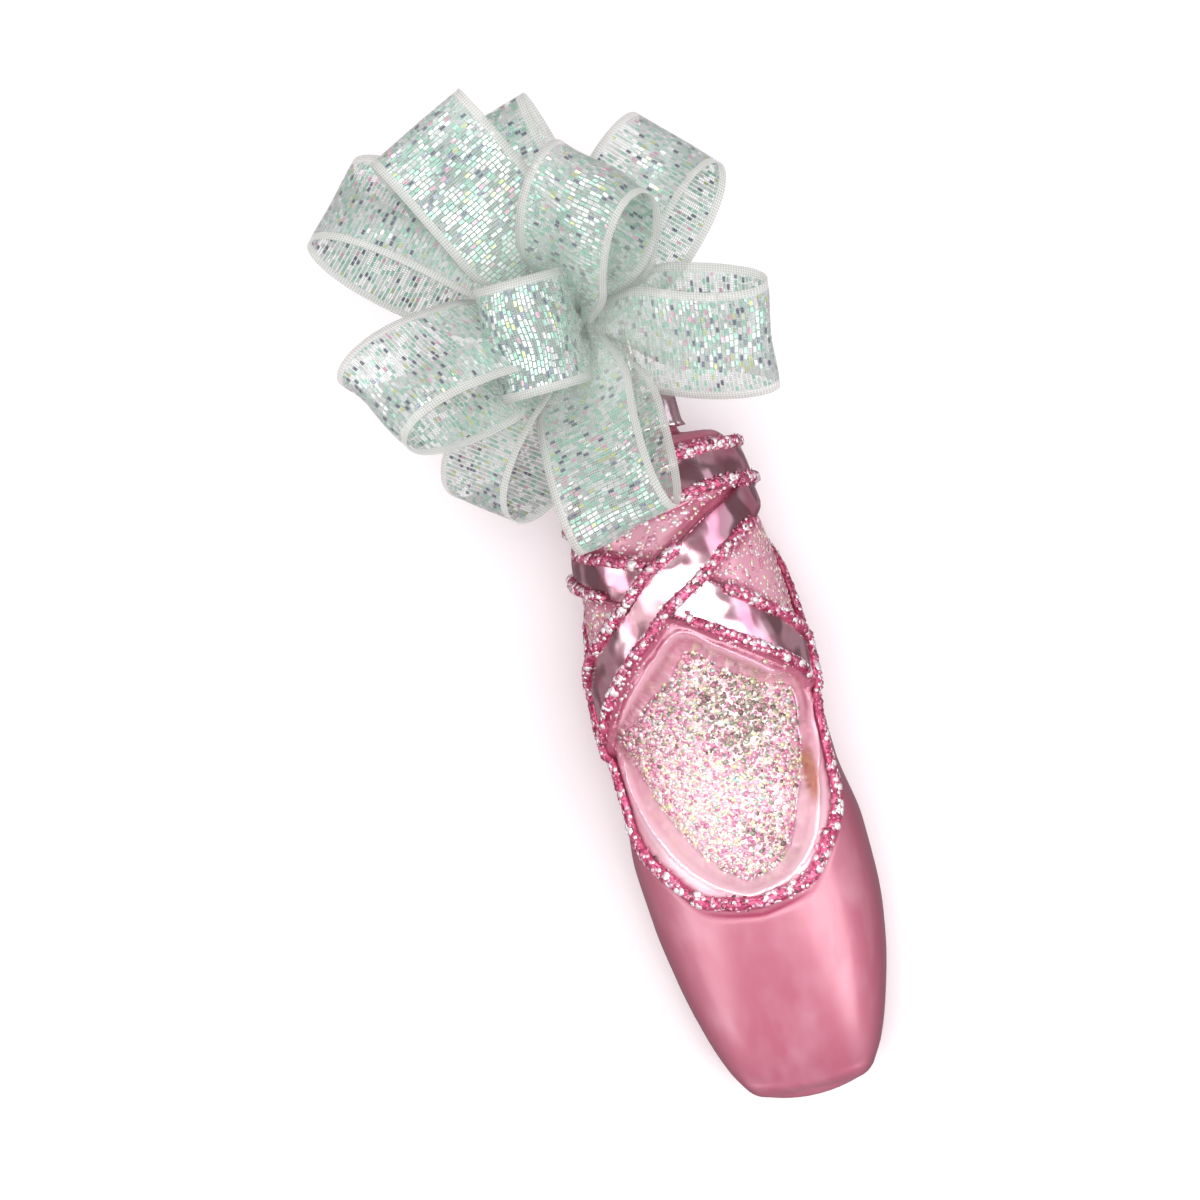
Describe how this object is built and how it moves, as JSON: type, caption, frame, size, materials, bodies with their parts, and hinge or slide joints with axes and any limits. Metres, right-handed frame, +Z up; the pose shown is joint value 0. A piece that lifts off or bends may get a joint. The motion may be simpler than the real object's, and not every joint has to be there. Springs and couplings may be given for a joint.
{
  "type": "glass ballet shoe ornament",
  "caption": "Blown-glass ballet pointe shoe ornament with crossed ankle ribbons, glitter trim, a metal cap with a wire loop, and a sheer ribbon bow.",
  "frame": {"origin": "middle of the heel's tread, on the plane the shoe rests on", "axes": "+Z up, +Y from the toe to the neck, +X to the right seen from above with the toe towards the viewer"},
  "size_m": [0.0598, 0.1444, 0.0529],
  "materials": {
    "lacquered_glass": "silvered inside, satin pearl pink lacquer outside",
    "pearl_glitter": "coarse iridescent flakes",
    "pink_glitter": "coarse sparkling flakes",
    "cap_metal": "bright",
    "wire_metal": "bright drawn",
    "sheer_ribbon": "sheer, with iridescent woven threads"
  },
  "bodies": {
    "root": {"glass_shoe": "lacquered_glass", "throat_glitter_sheet": "pearl_glitter", "glitter_topline": "pink_glitter", "glitter_front_ribbon_toe_edge": "pink_glitter", "glitter_front_ribbon_neck_edge": "pink_glitter", "glitter_under_ribbon_left_toe_edge": "pink_glitter", "glitter_under_ribbon_left_neck_edge": "pink_glitter", "glitter_under_ribbon_right_toe_edge": "pink_glitter", "glitter_under_ribbon_right_neck_edge": "pink_glitter", "glitter_ankle_wrap_toe_edge": "pink_glitter", "glitter_ankle_wrap_neck_edge": "pink_glitter", "neck_cap": "cap_metal", "hanger_wire": "wire_metal", "ribbon_bow": "sheer_ribbon"}
  },
  "joints": []
}
